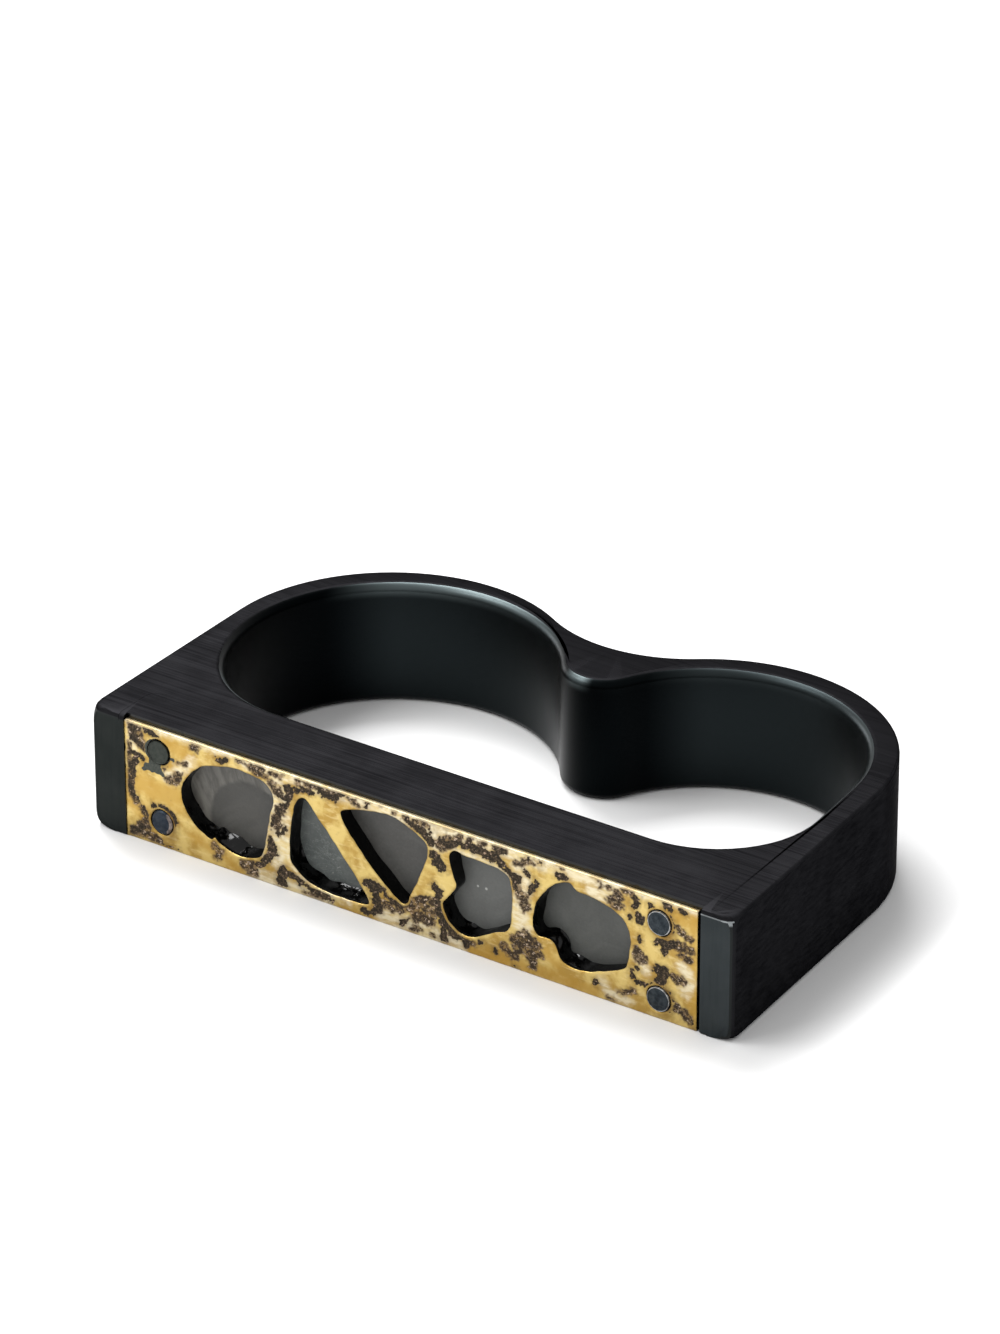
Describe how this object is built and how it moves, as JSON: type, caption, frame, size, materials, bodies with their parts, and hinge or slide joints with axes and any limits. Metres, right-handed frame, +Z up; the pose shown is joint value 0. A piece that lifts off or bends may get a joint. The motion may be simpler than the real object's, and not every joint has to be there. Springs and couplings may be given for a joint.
{
  "type": "two-finger ring",
  "caption": "Ring for two fingers: a blackened silver band with a flat bar across the front, faced with a riveted gold sheet whose windows show dark grey stone slabs.",
  "frame": {"origin": "under the middle of the ring's box, on the surface the ring lies on", "axes": "+X along the gold front to the right, +Y from the front to the finger loops at the back, +Z up, through the finger holes"},
  "size_m": [0.0498, 0.0302, 0.009],
  "materials": {
    "blackened_silver": "oxidised silver, finely brushed outside, polished inside",
    "dark_silver": "oxidised silver, glossy black inside the pockets",
    "gold": "yellow gold sheet with dark, pitted patches",
    "stone": "dark grey, satin-polished slab",
    "rivet_silver": "darkened silver with a bright rim"
  },
  "bodies": {
    "root": {"shank": "blackened_silver", "setting_block": "dark_silver", "gold_plate": "gold", "stone_1": "stone", "stone_2": "stone", "stone_3": "stone", "stone_4": "stone", "stone_5": "stone", "rivet_1": "rivet_silver", "rivet_2": "rivet_silver", "rivet_3": "rivet_silver", "rivet_4": "rivet_silver"}
  },
  "joints": []
}
